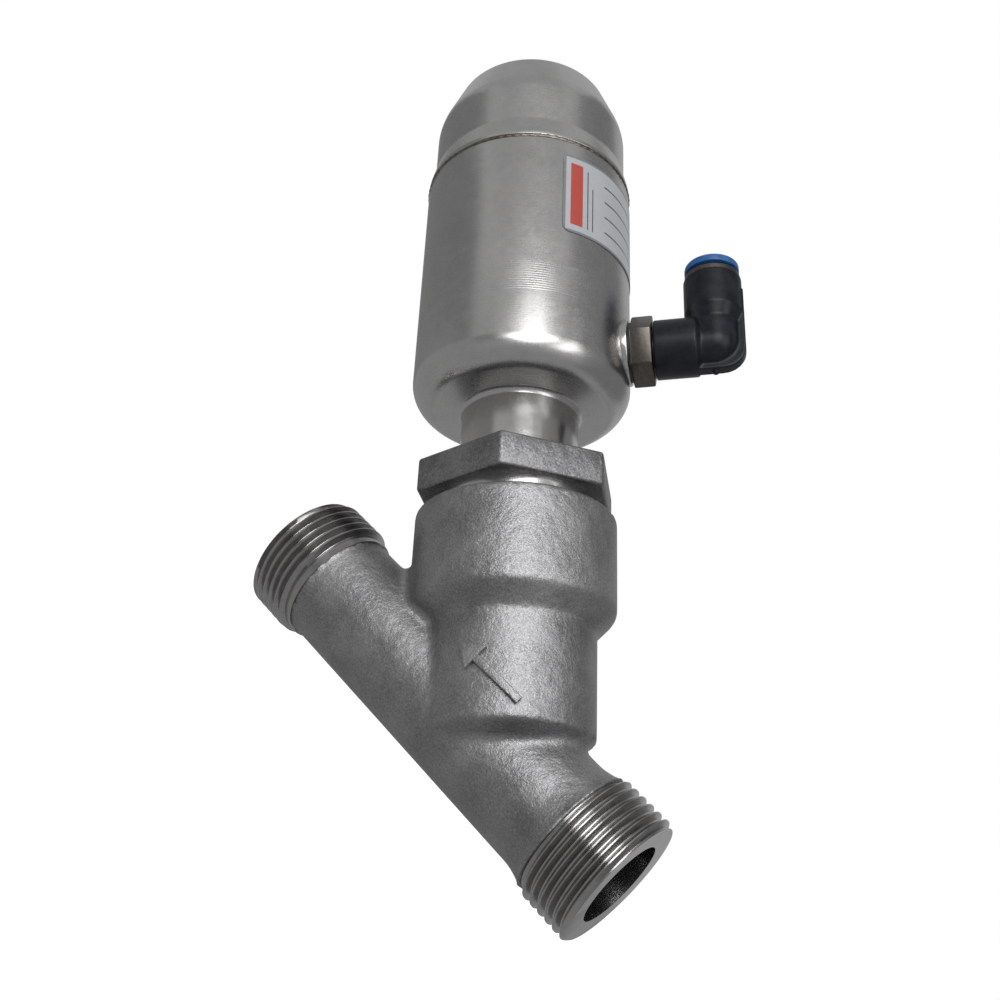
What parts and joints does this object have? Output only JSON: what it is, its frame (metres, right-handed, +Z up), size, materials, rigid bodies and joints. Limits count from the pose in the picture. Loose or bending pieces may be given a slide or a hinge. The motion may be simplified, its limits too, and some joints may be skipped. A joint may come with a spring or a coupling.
{
  "type": "angle seat valve",
  "caption": "Angle seat valve: Y-pattern cast body with threaded spigots, union nut, spring-closed steel piston actuator and swivelling push-in air elbow.",
  "frame": {"origin": "centre of the inlet spigot's end face", "axes": "+X along the pipe axis and out of the inlet, so the fluid runs towards -X; +Z up; the stem leans 45 degrees from +Z towards -X in the XZ plane"},
  "size_m": [0.1496, 0.0454, 0.1341],
  "materials": {
    "cast_stainless": "bead-blasted casting",
    "nut_stainless": "coarse blasted casting",
    "turned_stainless": "turned",
    "brushed_shell": "brushed satin",
    "weld_metal": "weld bead",
    "spring_steel": "drawn wire",
    "ptfe": "smooth",
    "bush_polymer": "filled PTFE",
    "black_rubber": "smooth",
    "nickel_brass": "dull nickel plate",
    "black_plastic": "satin moulded",
    "blue_plastic": "satin moulded",
    "clear_plastic": "clear moulded",
    "red_plastic": "satin moulded",
    "label_film": "silver film",
    "piston_aluminium": "turned"
  },
  "bodies": {
    "body": {"valve_body": "cast_stainless", "body_gasket": "ptfe", "bonnet_tube": "turned_stainless", "union_nut": "nut_stainless", "lower_guide_bush": "bush_polymer", "packing_spring": "spring_steel", "packing_washer": "turned_stainless", "packing_v_rings": "ptfe", "packing_gland": "turned_stainless", "packing_screw": "turned_stainless", "upper_guide_bush": "bush_polymer", "stem_lip_seal": "black_rubber", "packing_circlip": "spring_steel", "actuator_shell": "brushed_shell", "actuator_cap": "brushed_shell", "seam_weld": "weld_metal", "neck_weld": "weld_metal", "spring_plate": "turned_stainless", "indicator_boss": "turned_stainless", "sight_cap_seal": "black_rubber", "sight_cap": "clear_plastic", "type_label": "label_film", "outer_spring": "spring_steel", "inner_spring": "spring_steel", "air_port_boss": "turned_stainless", "fitting_shank": "nickel_brass", "port_seal_ring": "black_rubber", "swivel_o_ring": "black_rubber", "swivel_clip": "spring_steel"},
    "stem_assembly": {"stem": "turned_stainless", "disc_holder": "turned_stainless", "seat_seal": "ptfe", "seal_washer": "turned_stainless", "seal_nut": "turned_stainless", "disc_pin": "turned_stainless", "piston": "piston_aluminium", "piston_seal": "black_rubber", "piston_guide_ring": "ptfe", "piston_o_ring": "black_rubber", "piston_nut": "turned_stainless", "indicator_pin": "red_plastic"},
    "elbow": {"elbow_body": "black_plastic", "tube_seal": "black_rubber", "tube_collet": "spring_steel", "mouth_ring": "nickel_brass"},
    "release": {"release_ring": "blue_plastic"}
  },
  "joints": [
    {"name": "stem_lift", "type": "slide", "parent": "body", "child": "stem_assembly", "axis": [-0.7071, 0, 0.7071], "range_m": [0, 0.008], "stiffness_N_per_m": 22000, "deforming": ["outer_spring", "inner_spring"]},
    {"name": "elbow_swivel", "type": "hinge", "parent": "body", "child": "elbow", "pos_m": [-0.06038, 0, 0.08825], "axis": [0.7071, 0, 0.7071], "continuous": true},
    {"name": "release_press", "type": "slide", "parent": "elbow", "child": "release", "axis": [0.7071, 0, -0.7071], "range_m": [0, 0.0008], "stiffness_N_per_m": 400}
  ]
}
